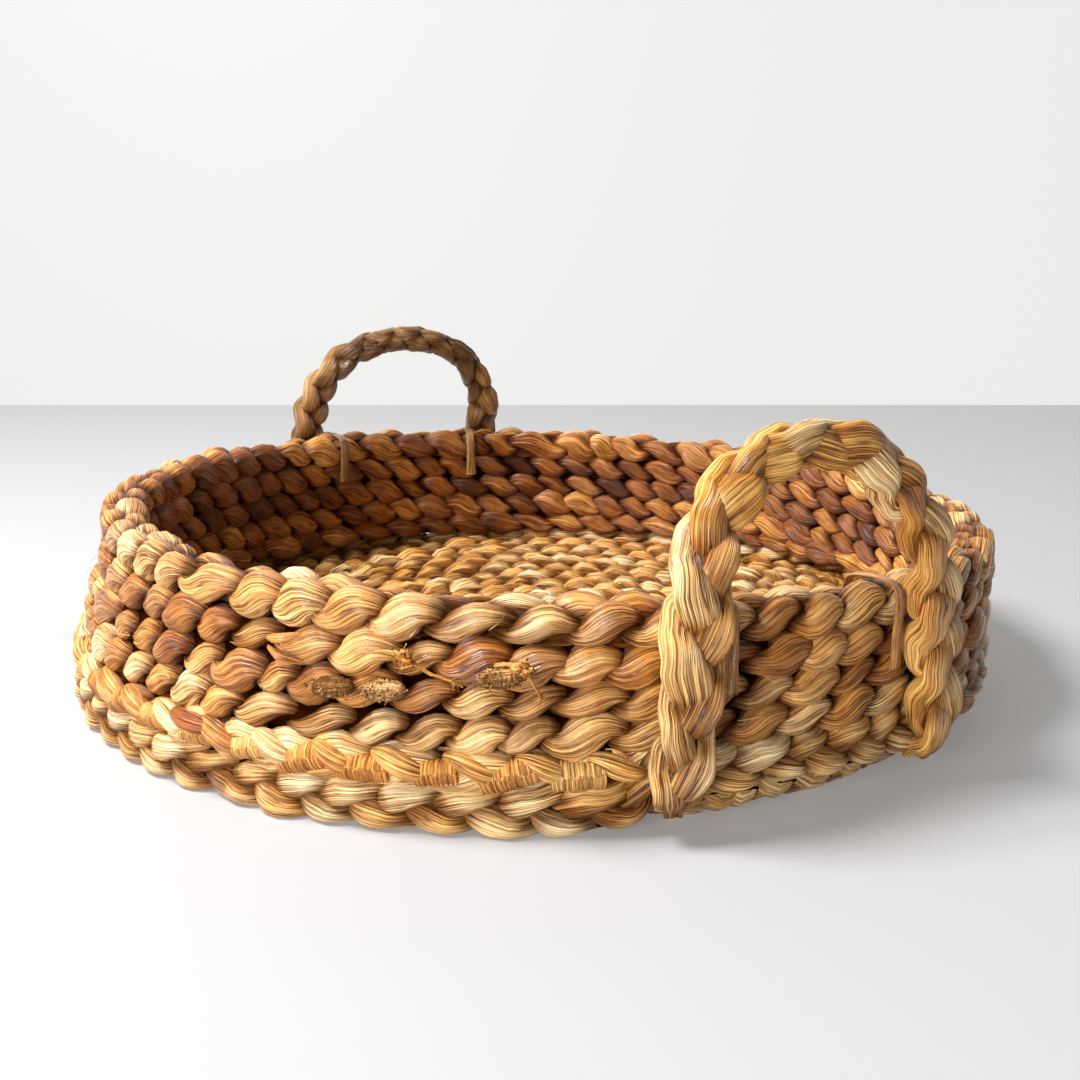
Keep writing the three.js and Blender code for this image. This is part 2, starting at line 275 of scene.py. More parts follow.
def floor_line():
    """The coil's centre line, from the button outwards. Its ends taper, so it fills a disc."""
    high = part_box("floor_coil")[1]
    eye_low, eye_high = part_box("floor_button")
    eye = np.array((eye_low + eye_high) / 2) * (1, 1, 0)
    eye_radius = (eye_high.x - eye_low.x) / 2
    tris = triangles("base_edge_plait")
    sectors = (np.arange(FLOOR_SECTORS) + 0.5) / FLOOR_SECTORS * TURN
    edge = []
    for angle in sectors:
        out = np.array((math.cos(angle), math.sin(angle), 0))
        reach = (cut(tris, eye, np.cross(UP, out), out) - eye) @ out
        edge.append(reach.min() + FLOOR_TUCK * (reach.max() - reach.min()))
    width = FLOOR_PITCH * MM
    turns = (max(edge) - eye_radius) / width + 1
    tip = FLOOR_TIP * MM / width
    angle = np.linspace(tip, turns - tip, int(turns * 48)) * TURN
    rim = np.interp(angle % TURN, sectors, edge, period=TURN)
    outer = np.minimum(eye_radius + width * angle / TURN, rim)
    inner = np.maximum(eye_radius + width * (angle / TURN - 1), eye_radius)
    kept = outer - inner > FLOOR_TIP * MM
    angle, radius, half_wide = angle[kept], (outer + inner)[kept] / 2, (outer - inner)[kept] / 2
    lift = np.interp(radius, FLOOR_RISE_FROM, (0, high.z - eye_high.z))
    wide = np.stack([np.cos(angle), np.sin(angle), np.zeros_like(angle)], axis=1)
    centre = eye + wide * radius[:, None] + UP * (lift + eye_high.z / 2)[:, None]
    face = np.broadcast_to(UP, wide.shape)
    half = np.stack([half_wide, np.full_like(half_wide, eye_high.z / 2)], axis=1)
    return Line(centre, wide, face, half, False)


# ---------------------------------------------------------------- plaits
def lobe_blend(values, turn):
    """A value per lobe, steady over the lobe and changing quickly where the strand is hidden."""
    place = turn - 0.5
    index = np.floor(place).astype(int)
    share = smoothstep((place - index - 0.5) / 0.3 + 0.5)
    first = values[index % len(values)]
    second = values[(index + 1) % len(values)]
    return first * (1 - share) + second * share


def wander(rng, line, spacing, s):
    """A smooth wandering value along a line, the same at both ends."""
    count = max(4, round(line.length / MM / spacing))
    knots = rng.normal(0, 1, count)
    place = s / (line.length / MM) * count
    index = np.floor(place).astype(int)
    share = smoothstep(place - index)
    return knots[index % count] * (1 - share) + knots[(index + 1) % count] * share


class Skin:
    """Vertices, faces and per-vertex values of one piece, gathered strand by strand."""

    def __init__(self):
        self.points, self.faces, self.leaf = [], [], []
        self.tone, self.hue, self.painted_shade = [], [], []
        self.count = 0

    def tube(self, points, leaf, tone, hue, painted_shade, closed):
        rows, around = points.shape[:2]
        grid = np.arange(rows * around).reshape(rows, around) + self.count
        ahead = np.roll(grid, -1, axis=0) if closed else grid[1:]
        behind = grid if closed else grid[:-1]
        quads = np.stack([behind, np.roll(behind, -1, 1), np.roll(ahead, -1, 1), ahead], axis=-1)
        self.faces.extend(quads.reshape(-1, 4).tolist())
        if not closed:
            self.faces.append(grid[0].tolist())
            self.faces.append(grid[-1][::-1].tolist())
        points = points.reshape(-1, 3).copy()
        points[:, 2] = np.maximum(points[:, 2], TABLE_CLEARANCE)  # leaves lie flat on the table
        self.points.append(points)
        self.leaf.append(leaf.reshape(-1, 3))
        for store, value in ((self.tone, tone), (self.hue, hue), (self.painted_shade, painted_shade)):
            store.append(np.broadcast_to(value, (rows, around)).reshape(-1))
        self.count += rows * around

    def build(self, name, material, node=None):
        mesh = bpy.data.meshes.new(name)
        mesh.from_pydata(np.vstack(self.points).tolist(), [], self.faces)
        vector = mesh.attributes.new("leaf", "FLOAT_VECTOR", "POINT")
        vector.data.foreach_set("vector", np.vstack(self.leaf).astype(np.float32).ravel())
        for label, store in (("tone", self.tone), ("hue", self.hue), ("painted_shade", self.painted_shade)):
            value = mesh.attributes.new(label, "FLOAT", "POINT")
            value.data.foreach_set("value", np.concatenate(store).astype(np.float32))
        mesh.polygons.foreach_set("use_smooth", np.ones(len(mesh.polygons), bool))
        mesh.materials.append(material)
        mesh.update()
        piece = bpy.data.objects.new(name, mesh)
        bpy.context.scene.collection.objects.link(piece)
        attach(piece, "root")
        if node:
            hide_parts(node)
        return piece


def strand(skin, line, style, number, tones, seed):
    """One leaf strand of a plait: it winds from edge to edge in a figure of eight."""
    rng = np.random.default_rng(seed * 10 + number)
    shared = np.random.default_rng(seed)
    length = line.length / MM
    turns = max(1, round(length / style["pitch"])) if line.closed else length / style["pitch"]
    rows = int(length / style["step"])
    s = np.arange(rows) / rows * length if line.closed else np.linspace(0, length, rows)
    theta = TURN * (s / length * turns + number / STRANDS) + 0.3 * wander(shared, line, 31.0, s)
    lobe_turn = theta / math.pi
    lobes = int(round(2 * turns)) if line.closed else int(2 * turns) + 4
    within = lobe_turn % 1.0

    # where the strand is
    centre, wide, face, half_wide, half_thick = line.at(s * MM)
    half_wide, half_thick = half_wide / MM, half_thick / MM
    thick, broad = style["thick"], style["wide"]
    edge = broad + (thick - broad) * style["turned"]
    fit = np.minimum(1, half_wide / (1.2 * edge))  # thinner strands where the plait narrows
    sway = half_wide - 0.97 * edge * fit
    rise = half_thick * style["rise"]
    x = sway * np.sin(theta) + style["loose"] * wander(rng, line, 9.0, s)
    press = style["press"]
    pressed = np.tanh(press * np.sin(2 * theta + style["lead"])) / math.tanh(press)
    y = style["hand"] * rise * pressed + style["loose"] * wander(rng, line, 9.0, s)
    from_end = np.full(rows, length) if line.closed else np.minimum(s, length - s)
    tucked = 1 - smoothstep(from_end / 11.0)
    x = x * (1 - 0.6 * tucked)
    y = y - style["tuck"] * tucked
    path = centre / MM + wide * x[:, None] + face * y[:, None]
    along = unit(np.gradient(path, axis=0))
    if line.closed:
        along[0] = along[-1] = unit(path[1] - path[-2])

    # its section, lobe by lobe: broad along the face it shows, and it doesn't turn as it winds
    flat = unit(wide - along * (wide * along).sum(1, keepdims=True))
    across = np.cross(along, flat)
    swell = style["waist"] + style["plump"] * np.sin(math.pi * within) ** 1.5
    ends = 1 - 0.6 * (1 - smoothstep(from_end / 8.0))
    varied = np.clip(lobe_blend(rng.normal(0, 1, lobes), lobe_turn), -1.6, 1.8)
    size = fit * ends * swell * (1 + 0.15 * varied)
    at_edge = style["turned"] * smoothstep((np.abs(np.sin(theta)) - 0.7) / 0.3)
    count, power = style["around"], style["square"]
    v = np.arange(count) / count * TURN
    boxy_cos = np.sign(np.cos(v)) * np.abs(np.cos(v)) ** power
    boxy_sin = np.sign(np.sin(v)) * np.abs(np.sin(v)) ** power
    thin = (size * (broad + (thick - broad) * at_edge))[:, None] * boxy_cos
    fat = (size * (thick + (broad - thick) * at_edge))[:, None] * boxy_sin

    # folds of the leaf along the lobe
    window = np.sin(math.pi * within)[:, None] ** 0.6
    lobe = np.floor(lobe_turn).astype(int) % lobes
    relief = np.zeros((rows, count))
    for _ in range(FOLDS):
        place = rng.uniform(0, TURN, lobes)[lobe][:, None]
        lean = rng.normal(0, 0.12, lobes)[lobe][:, None] * (within[:, None] - 0.5)
        depth = rng.uniform(0.0, 0.1, lobes)[lobe][:, None]
        gap = (v[None] - place - lean + math.pi) % TURN - math.pi
        relief -= depth * np.exp(-(gap / 0.17) ** 2)
        relief += 0.4 * depth * np.where(gap > 0, np.exp(-gap / 0.5), 0)
    grow = 1 + relief * window
    points = (path[:, None] + flat[:, None] * (thin * grow)[..., None]
              + across[:, None] * (fat * grow)[..., None])

    # painted shade: faces towards the basket's inside get darker tones, as less light reaches them
    inside = style["inner"] * smoothstep(-np.cos(v) * 1.5 + 0.2)[None]

    # what the material needs
    run = np.concatenate([[0], np.cumsum(np.linalg.norm(np.diff(path, axis=0), axis=1))])
    ring = 5.0
    leaf = np.stack(np.broadcast_arrays(
        (run + 900.0 * number + 37.0 * seed)[:, None],
        ring * np.cos(v)[None],
        ring * np.sin(v)[None]), axis=-1)
    offset = points - (centre / MM)[:, None]
    far_wide = np.abs((offset * wide[:, None]).sum(-1)) / half_wide[:, None]
    far_face = np.abs((offset * face[:, None]).sum(-1)) / (half_thick + thick * 0.38)[:, None]
    far = (far_wide ** 3 + far_face ** 3) ** (1 / 3)
    # painted shade: the deeper a point lies inside the plait, between strands, the darker it is painted
    painted_shade = style["shade"] * (1 - smoothstep((far - 0.58) / 0.36))
    low, high = tones
    tone = np.clip(lobe_blend(rng.uniform(low, high, lobes), lobe_turn), 0, 1)[:, None]
    tone = np.clip(tone - inside, 0, 1)
    hue = lobe_blend(rng.uniform(0, 1, lobes), lobe_turn)[:, None]
    skin.tube(points * MM, leaf, tone, hue, painted_shade, line.closed)


def core(skin, line, width, height):
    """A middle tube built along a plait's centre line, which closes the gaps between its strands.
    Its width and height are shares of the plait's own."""
    length = line.length / MM
    rows = int(length / CORE_STEP)
    s = np.arange(rows) / rows * length if line.closed else np.linspace(3.0, length - 3.0, rows)
    centre, wide, face, half_wide, half_thick = line.at(s * MM)
    v = np.arange(CORE_SIDES) / CORE_SIDES * TURN
    points = (centre[:, None]
              + wide[:, None] * (half_wide * width)[:, None, None] * np.cos(v)[None, :, None]
              + face[:, None] * (half_thick * height)[:, None, None] * np.sin(v)[None, :, None])
    leaf = np.stack(np.broadcast_arrays(s[:, None], np.cos(v)[None], np.sin(v)[None]), axis=-1)
    # painted shade: the whole core is painted as dark as the deepest gaps
    skin.tube(points, leaf, 0.2, 0.0, 1.0, line.closed)


def plait(name, line, style, material, tones, seed):
    skin = Skin()
    if style["core"]:
        core(skin, line, *style["core"])
    for number in range(STRANDS):
        strand(skin, line, style, number, tones, seed)
    return skin.build(name + "_leaf", material, name)


# ---------------------------------------------------------------- small parts
def frame_along(path):
    """Directions along and square to a path of points."""
    along = unit(np.gradient(path, axis=0))
    helper = np.where(np.abs(along[:, 2:]) < 0.9, UP, np.array((1.0, 0.0, 0.0)))
    first = unit(np.cross(along, helper))
    return along, first, np.cross(along, first)


def tube(skin, path, radius, rng, around=8, tone=0.5, wound=False, lump=0.0, flat=1.0, level=None):
    """A round or flattened tube in millimetres. wound turns its fibres to run round it.
    A flattened tube is broad in the level direction."""
    along, first, second = frame_along(path)
    if level is not None:
        first = unit(level - along * (along @ level)[:, None])
        second = np.cross(along, first)
    rows = len(path)
    radius = np.broadcast_to(radius, rows)
    v = np.arange(around) / around * TURN
    rough = 1 + lump * rng.normal(0, 1, (rows, around))
    ring = np.cos(v)[None, :, None] * first[:, None] + flat * np.sin(v)[None, :, None] * second[:, None]
    points = path[:, None] + ring * (radius[:, None] * rough)[..., None]
    run = np.concatenate([[0], np.cumsum(np.linalg.norm(np.diff(path, axis=0), axis=1))])
    girth = radius.mean()
    if wound:
        place = (girth * v[None] + 40.0, run[:, None], np.zeros((1, 1)))
    else:
        place = (run[:, None] + rng.uniform(0, 500), girth * np.cos(v)[None], girth * np.sin(v)[None])
    leaf = np.stack(np.broadcast_arrays(*place), axis=-1)
    skin.tube(points * MM, leaf, tone, rng.uniform(0, 1), 0.0, False)


def binding(skin, middle, along, outward, rng):
    """Leaf wound round a bundle: a short cylinder of narrow turns with rounded ends."""
    t = np.linspace(-1, 1, 72)
    length = BINDING_LENGTH * rng.uniform(0.8, 1.1)
    sink = rng.uniform(0.2, 0.9) * t**2
    path = middle + along * (t * length / 2)[:, None] - outward * sink[:, None]
    turns = round(length / BINDING_TURN)
    ridge = 0.36 * np.abs(np.sin(math.pi * turns * (t + 1) / 2))
    ends = np.sqrt(np.clip((1 - np.abs(t)) / 0.09, 0, 1))
    radius = (BINDING_RADIUS * rng.uniform(0.88, 1.06) - 0.3 + ridge) * (0.45 + 0.55 * ends)
    tube(skin, path, radius, rng, 20, rng.uniform(0.15, 0.65), wound=True, lump=0.004)


def cuff(skin, middle, along, up, outward, rng):
    """The leaf that folds over a binding's end, from above it down behind the next one."""
    t = np.linspace(0, 1, 26)
    reach = 17.0 * rng.uniform(0.9, 1.15)
    drop = 3.6 - 5.2 * smoothstep(t * 1.1 - 0.05)
    depth = 0.2 + 1.7 * np.sin(math.pi * t) - 1.2 * t
    path = (middle + along * (t * reach - reach * 0.45)[:, None]
            + up * drop[:, None] + outward * depth[:, None])
    radius = rng.uniform(3.4, 4.2) * np.sin(math.pi * (0.06 + 0.88 * t)) ** 0.7
    tube(skin, path, radius, rng, 24, rng.uniform(0.2, 0.9), lump=0.01, flat=0.9)


def bindings(material):
    """The wound bundles that show along the wrapped course, a little proud of it."""
    rng = np.random.default_rng(61)
    line = ring_line("wrapped_course")
    length = line.length / MM
    skin = Skin()
    s = length - 11.0
    while s > length * BINDING_START:
        centre, wide, face, half_wide = line.spot(s * MM)
        tilt = rng.normal(0.14, 0.13)
        level = np.cross(face, wide)
        along = level * math.cos(tilt) + face * math.sin(tilt)
        front = centre + wide * (half_wide - 1.6)
        binding(skin, front - face * 0.6, along, wide, rng)
        end = front + level * BINDING_PITCH * 0.5 - wide * 0.9 + face * 0.4
        cuff(skin, end, level, face, wide, rng)
        s -= BINDING_PITCH * rng.uniform(0.92, 1.08)
    return skin.build("wrapped_course_bindings", material)


def glossy_leaf(material):
    """One darker, shinier leaf that lies over the wrapped course where its bindings begin."""
    rng = np.random.default_rng(17)
    line = ring_line("wrapped_course")
    centre, wide, face, half_wide = line.spot(line.length - GLOSSY_PLACE * MM)
    level = np.cross(face, wide)
    t = np.linspace(-1, 1, 40)
    path = (centre + wide * (half_wide + 0.2) + face * 3.4
            + level * (11.5 * t)[:, None] - face * (0.6 * t)[:, None] - wide * (2.6 * t**2)[:, None])
    skin = Skin()
    tube(skin, path, 3.6 * np.sqrt(np.clip(1.04 - t**2, 0.02, 1)), rng, 28, 0.5, flat=0.8)
    return skin.build("wrapped_course_glossy_leaf", material)


def loose_fibres(material):
    """Hairs that stand off the wall here and there."""
    rng = np.random.default_rng(23)
    skin = Skin()
    for node in ("wall_plait_lower", "wall_plait_middle", "wall_plait_upper", "rim_plait"):
        line = ring_line(node)
        for s in rng.uniform(0, line.length, FIBRES_PER_COURSE):
            centre, wide, face, half_wide = line.spot(s)
            start = centre + wide * (half_wide - 1.2) + face * rng.uniform(-4, 4)
            aim = wide * 0.45 + np.cross(face, wide) * rng.choice((-1, 1))
            fibres(skin, start, aim, 2, 7.0, 1.0, rng, 0.9, 0.1)
    return skin.build("loose_fibres", material)


def fibres(skin, origin, aim, count, length, spread, rng, tone, radius=0.16):
    """Loose hairs that start near a point and curl away."""
    for _ in range(count):
        start = origin + rng.normal(0, 0.5 * spread, 3)
        heading = unit(aim + rng.normal(0, 0.45, 3))
        curl = rng.normal(0, 0.35, 3)
        t = np.linspace(0, 1, 6)[:, None]
        reach = length * rng.uniform(0.4, 1.0)
        path = start + heading * reach * t + curl * reach * t**2
        tube(skin, path, radius * np.linspace(1, 0.35, 6), rng, 4, tone)


def across_wall(node):
    """Middle of a small node in millimetres, and the directions out of the wall and along it."""
    middle = centre_of(node) / MM
    rim = centre_of("rim_plait") / MM
    outward = unit((middle - rim) * (1, 1, 0))
    return middle, outward, np.cross(UP, outward)


def lashing(node, material):
    """Twine over the rim: the path keeps to the middle of the CAD lashing."""
    rng = np.random.default_rng(sum(map(ord, node)))
    middle, outward, tangent = across_wall(node)
    points = triangles(node).reshape(-1, 3) / MM
    reach = (points - middle) @ outward
    outside, inside = points[reach > 4], points[reach < -4]
    skin = Skin()

    def spot(side, height, push):
        near = side[np.abs(side[:, 2] - height) < 3]
        out = ((near - middle) @ outward).mean() + push
        return middle * (1, 1, 0) + outward * out + UP * height

    def leg(side, push):
        """From the twine's lower end to just under the bend over the rim."""
        return [spot(side, z, push) for z in np.linspace(side[:, 2].min(), points[:, 2].max() - 6, 5)]

    up, down = leg(outside, 0.3), leg(inside, -0.3)
    left, right = up[-1], down[-1]
    over = [left * (1 - k) + right * k + UP * (5.0 * math.sin(math.pi * (0.12 + 0.76 * k)) ** 0.5)
            for k in (0.04, 0.25, 0.5, 0.75, 0.96)]
    path = smooth_path(np.array(up + over + down[::-1]))
    for shift, breadth in ((-0.7, 2.0), (1.2, 1.3)):
        lean = np.linspace(shift, -shift, len(path))[:, None]
        tube(skin, path + tangent * lean, breadth, rng, 12, rng.uniform(0.2, 0.8), lump=0.05, flat=0.3,
             level=tangent)
    return skin.build(node + "_twine", material, node)


def smooth_path(points, fine=6):
    """The same path with more points, rounded at its corners."""
    t = np.linspace(0, len(points) - 1, (len(points) - 1) * fine + 1)
    dense = np.stack([np.interp(t, np.arange(len(points)), c) for c in points.T], axis=1)
    for _ in range(fine):
        dense[1:-1] = (dense[:-2] + 2 * dense[1:-1] + dense[2:]) / 4
    return dense


def knot_and_tail(node, material):
    """Sewing twine that comes out of the wall: a knot with a frayed tail, or a flat stitch."""
    rng = np.random.default_rng(sum(map(ord, node)))
    middle, outward, tangent = across_wall(node)
    low, high = (np.array(v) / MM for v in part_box(node))
    rise = UP * (high[2] - low[2]) * 0.4
    reach = tangent * max(2.0, np.linalg.norm((high - low)[:2]) / 2 - 1.5)
    head = middle - reach + rise + outward * 1.0
    foot = middle + reach - rise + outward * 0.5
    skin = Skin()
    if high[2] - low[2] < STITCH_RISE:
        for lift, tip in ((2.2, -1.2), (-3.2, 1.6)):
            strip = smooth_path(np.array([
                head - rise + UP * (lift + tip) - outward * 2.4,
                middle + UP * lift + outward * 1.2,
                foot + rise + UP * (lift - tip) - outward * 2.2]), 10)
            breadth = 1.5 * np.sin(np.linspace(0.5, 2.7, len(strip)))
            tube(skin, strip, breadth, rng, 12, rng.uniform(0.4, 0.8), lump=0.06, flat=0.42, level=UP)
        return skin.build(node + "_stitch", material, node)
    sag = middle + outward * 0.9 + UP * rng.uniform(-1.6, 1.0)
    strip = smooth_path(np.array([head, head * 0.5 + sag * 0.5, sag, foot]))
    tube(skin, strip, 1.15 * np.linspace(1.1, 0.5, len(strip)), rng, 10, 0.6, lump=0.14, flat=0.5)
    far_end = head - tangent * rng.uniform(5, 9) + UP * rng.uniform(-3, 1) - outward * 2.2
    back_strip = smooth_path(np.array([head, head * 0.4 + far_end * 0.6 + UP * 0.8, far_end]))
    tube(skin, back_strip, 1.0, rng, 10, 0.8, lump=0.14, flat=0.45)
    for _ in range(6):
        lean, turn = unit(rng.normal(0, 1, 3)), np.linspace(0, rng.uniform(4.5, 6.5), 16)
        side = unit(np.cross(lean, UP + 0.01))
        ball = head + rng.normal(0, 0.8, 3) + rng.uniform(0.9, 2.0) * (
            side * np.cos(turn)[:, None] + np.cross(lean, side) * np.sin(turn)[:, None])
        tube(skin, ball, 0.75 * np.linspace(1.2, 0.6, 16), rng, 8, rng.uniform(0.4, 0.9), lump=0.2)
    fibres(skin, head, outward * 0.5 - UP * 0.4, 50, 2.8, 2.4, rng, 0.7, 0.12)
    fibres(skin, foot, unit(tangent - UP), 14, 3.5, 0.6, rng, 0.7, 0.12)
    return skin.build(node + "_knot", material, node)


def stalk_end(node, material):
    """The torn end of a leaf stalk lying between two courses: a spongy, fibrous lump."""
    rng = np.random.default_rng(sum(map(ord, node)))
    middle, outward, tangent = across_wall(node)
    skin = Skin()
    t = np.linspace(-1, 1, 44)[:, None]
    path = middle - outward * 1.3 + tangent * 6.3 * t + UP * 0.9 * t
    blunt = np.sqrt(np.clip(1.03 - t[:, 0] ** 4, 0.03, 1))
    radius = 2.7 * blunt * (1 + 0.08 * np.sin(3.4 * t[:, 0] + rng.uniform(0, 6)))
    tube(skin, path, radius, rng, 34, rng.uniform(0.2, 0.9), lump=0.1)
    for part in np.linspace(-0.9, 0.9, 12):
        root = middle + tangent * 6.0 * part + outward * 0.7
        fibres(skin, root, outward * 0.8 + tangent * 0.4, 8, 1.2, 2.4, rng, rng.uniform(0.0, 1.0), 0.28)
    return skin.build(node + "_end", material, node)


def button(material):
    """The tight eye of the floor coil: a flat knot of leaf."""
    rng = np.random.default_rng(9)
    low, high = (np.array(v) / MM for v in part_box("floor_button"))
    eye = (low + high) / 2
    t = np.linspace(0, 1, 90)
    winding = 1.6 * TURN * t
    reach = 1.5 + 5.2 * t
    path = np.stack([eye[0] + reach * np.cos(winding), eye[1] + reach * np.sin(winding),
                     np.full(90, high[2] - 4.6)], axis=1)
    skin = Skin()
    tube(skin, path, 4.3 - 0.8 * np.sin(9 * winding) ** 2, rng, 14, 0.6)
    tube(skin, path - UP * (high[2] - 9.0), 4.2, rng, 10, 0.5)
    return skin.build("floor_button_knot", material, "floor_button")


# ---------------------------------------------------------------- materials
def linear(r, g, b):
    """A colour given as 0 to 255 screen values."""
    values = []
    for c in (r, g, b):
        c /= 255
        values.append(c / 12.92 if c <= 0.04045 else ((c + 0.055) / 1.055) ** 2.4)
    return (*values, 1)


class Nodes:
    """Short calls for building a node tree."""

    def __init__(self, name):
        self.material = bpy.data.materials.new(name)
        self.material.use_nodes = True
        self.tree = self.material.node_tree
        self.shader = self.tree.nodes["Principled BSDF"]

    def new(self, kind, **settings):
        node = self.tree.nodes.new(kind)
        for key, value in settings.items():
            setattr(node, key, value)
        return node

    def link(self, source, target):
        self.tree.links.new(source, target)

    def value(self, name):
        return self.new("ShaderNodeAttribute", attribute_name=name).outputs["Fac"]

    def vector(self, name, scale):
        source = self.new("ShaderNodeAttribute", attribute_name=name).outputs["Vector"]
        mapping = self.new("ShaderNodeMapping")
        mapping.inputs["Scale"].default_value = scale
        self.link(source, mapping.inputs["Vector"])
        return mapping.outputs["Vector"]

    def noise(self, vector, scale, detail=3.0, rough=0.55):
        node = self.new("ShaderNodeTexNoise")
        node.inputs["Scale"].default_value = scale
        node.inputs["Detail"].default_value = detail
        node.inputs["Roughness"].default_value = rough
        self.link(vector, node.inputs["Vector"])
        return node.outputs["Fac"]

    def ramp(self, fac, stops):
        node = self.new("ShaderNodeValToRGB")
        elements = node.color_ramp.elements
        while len(elements) < len(stops):
            elements.new(0.5)
        for element, (place, colour) in zip(elements, stops):
            element.position = place
            element.color = colour if isinstance(colour, tuple) else (colour, colour, colour, 1)
        self.link(fac, node.inputs["Fac"])
        return node.outputs["Color"]

    def mix(self, fac, a, b, blend="MIX"):
        node = self.new("ShaderNodeMix", data_type="RGBA", blend_type=blend)
        for source, target in ((fac, node.inputs[0]), (a, node.inputs[6]), (b, node.inputs[7])):
            if isinstance(source, (int, float, tuple)):
                target.default_value = source
            else:
                self.link(source, target)
        return node.outputs[2]

    def math(self, operation, a, b=0.0):
        node = self.new("ShaderNodeMath", operation=operation)
        for source, target in ((a, node.inputs[0]), (b, node.inputs[1])):
            if isinstance(source, (int, float)):
                target.default_value = source
            else:
                self.link(source, target)
        return node.outputs[0]


def leaf_material(name, colours, cast, dark, gloss=0.8):
    """Dried leaf: long fibres, thin dark split lines, mottled browning, a soft gloss, and painted shade
    in the gaps between strands.
    """
    n = Nodes(name)
    fine = n.noise(n.vector("leaf", (0.035, 1.9, 1.9)), 1.0, 3.0, 0.6)
    broad = n.noise(n.vector("leaf", (0.03, 0.75, 0.75)), 1.0, 2.0)
    patch = n.noise(n.vector("leaf", (0.09, 0.14, 0.14)), 1.0, 3.0)
    crack = n.noise(n.vector("leaf", (0.028, 0.95, 0.95)), 1.0, 1.0, 0.4)
    vein = n.noise(n.vector("leaf", (0.05, 1.8, 1.8)), 1.0, 1.0, 0.4)

    shifted = n.math("ADD", n.value("tone"), n.math("MULTIPLY", n.math("SUBTRACT", patch, 0.5), 0.6))
    base = n.ramp(shifted, colours)
    tinted = n.mix(n.ramp(n.value("hue"), [(0.7, 0.0), (1.0, 0.35)]), base, cast)
    streaks = n.ramp(broad, [(0.34, (0.86, 0.76, 0.62, 1)), (0.62, (1.12, 1.1, 1.08, 1))])
    threads = n.ramp(fine, [(0.34, (0.66, 0.47, 0.26, 1)), (0.54, (1.14, 1.12, 1.1, 1))])
    fibred = n.mix(1.0, n.mix(1.0, tinted, streaks, "MULTIPLY"), threads, "MULTIPLY")

    def thin_lines(noise, width):
        return n.ramp(n.math("ABSOLUTE", n.math("SUBTRACT", noise, 0.5)), [(0.0, 1.0), (width, 0.0)])

    split = thin_lines(crack, 0.045)
    hair = thin_lines(vein, 0.05)
    lines = n.math("MAXIMUM", n.math("MULTIPLY", split, 0.95), n.math("MULTIPLY", hair, 0.8))
    # painted shade between strands: this value darkens the gaps and draws the split lines darker there
    painted_shade = n.value("painted_shade")
    gathered = n.math("ADD", n.ramp(patch, [(0.4, 1.0), (0.64, 0.4)]), n.math("MULTIPLY", painted_shade, 1.2))
    drawn = n.math("MULTIPLY", lines, n.math("MINIMUM", gathered, 1.0))
    halo = n.math("MAXIMUM", thin_lines(crack, 0.12), n.math("MULTIPLY", thin_lines(vein, 0.12), 0.6))
    stained = n.mix(n.math("MULTIPLY", halo, gathered), fibred, (0.72, 0.52, 0.32, 1), "MULTIPLY")
    # dark here draws the split lines; below, it is also the colour of the painted shade
    cracked = n.mix(drawn, stained, dark)
    # painted shade: a warm brown darkening over the gaps, and the dark colour deepest in them
    shaded = n.math("MINIMUM", n.math("MULTIPLY", painted_shade, 1.6), 1.0)
    warmed_in_shade = n.mix(shaded, cracked, (0.84, 0.6, 0.36, 1), "MULTIPLY")
    n.link(n.mix(painted_shade, warmed_in_shade, dark), n.shader.inputs["Base Color"])

    rough = n.math("ADD", n.math("MULTIPLY", fine, 0.3), 0.8 - 0.8 * gloss)
    n.link(rough, n.shader.inputs["Roughness"])
    shine = 0.7 * gloss
    n.shader.inputs["Specular IOR Level"].default_value = shine
    unshaded = n.math("SUBTRACT", shine, n.math("MULTIPLY", painted_shade, shine))
    n.link(unshaded, n.shader.inputs["Specular IOR Level"])  # painted shade also takes the gloss out of the gaps
    fibre_height = n.math("ADD", fine, n.math("MULTIPLY", broad, 0.8))
    height = n.math("SUBTRACT", fibre_height, n.math("MULTIPLY", lines, 0.35))
    bump = n.new("ShaderNodeBump")
    bump.inputs["Strength"].default_value = 0.9
    bump.inputs["Distance"].default_value = 0.0008
    n.link(height, bump.inputs["Height"])
    n.link(bump.outputs["Normal"], n.shader.inputs["Normal"])
    return n.material


STRAW = [
    (0.0, linear(92, 46, 10)),
    (0.25, linear(162, 100, 40)),
    (0.5, linear(216, 158, 78)),
    (0.72, linear(245, 208, 144)),
    (1.0, linear(255, 244, 214)),
]
GOLD = [
    (0.0, linear(160, 96, 28)),
    (0.3, linear(218, 154, 66)),
    (0.65, linear(249, 204, 122)),
    (1.0, linear(255, 240, 200)),
]
OLIVE = [(0.0, linear(96, 68, 32)), (0.5, linear(150, 114, 62)), (1.0, linear(206, 168, 110))]
TWINE = [(0.0, linear(150, 92, 34)), (0.5, linear(222, 158, 64)), (1.0, linear(244, 200, 110))]
AMBER = [(0.0, linear(96, 46, 4)), (0.5, linear(160, 90, 14)), (1.0, linear(206, 136, 36))]
LASHING = [(0.0, linear(142, 92, 42)), (0.5, linear(194, 140, 76)), (1.0, linear(226, 180, 116))]
PITH = [(0.0, linear(92, 62, 34)), (0.5, linear(160, 122, 76)), (1.0, linear(206, 172, 124))]
MAUVE = linear(170, 128, 100)
# the colour of the dark split lines, and of the painted shade between strands
SPLIT_AND_SHADE_DARK = linear(34, 11, 0)


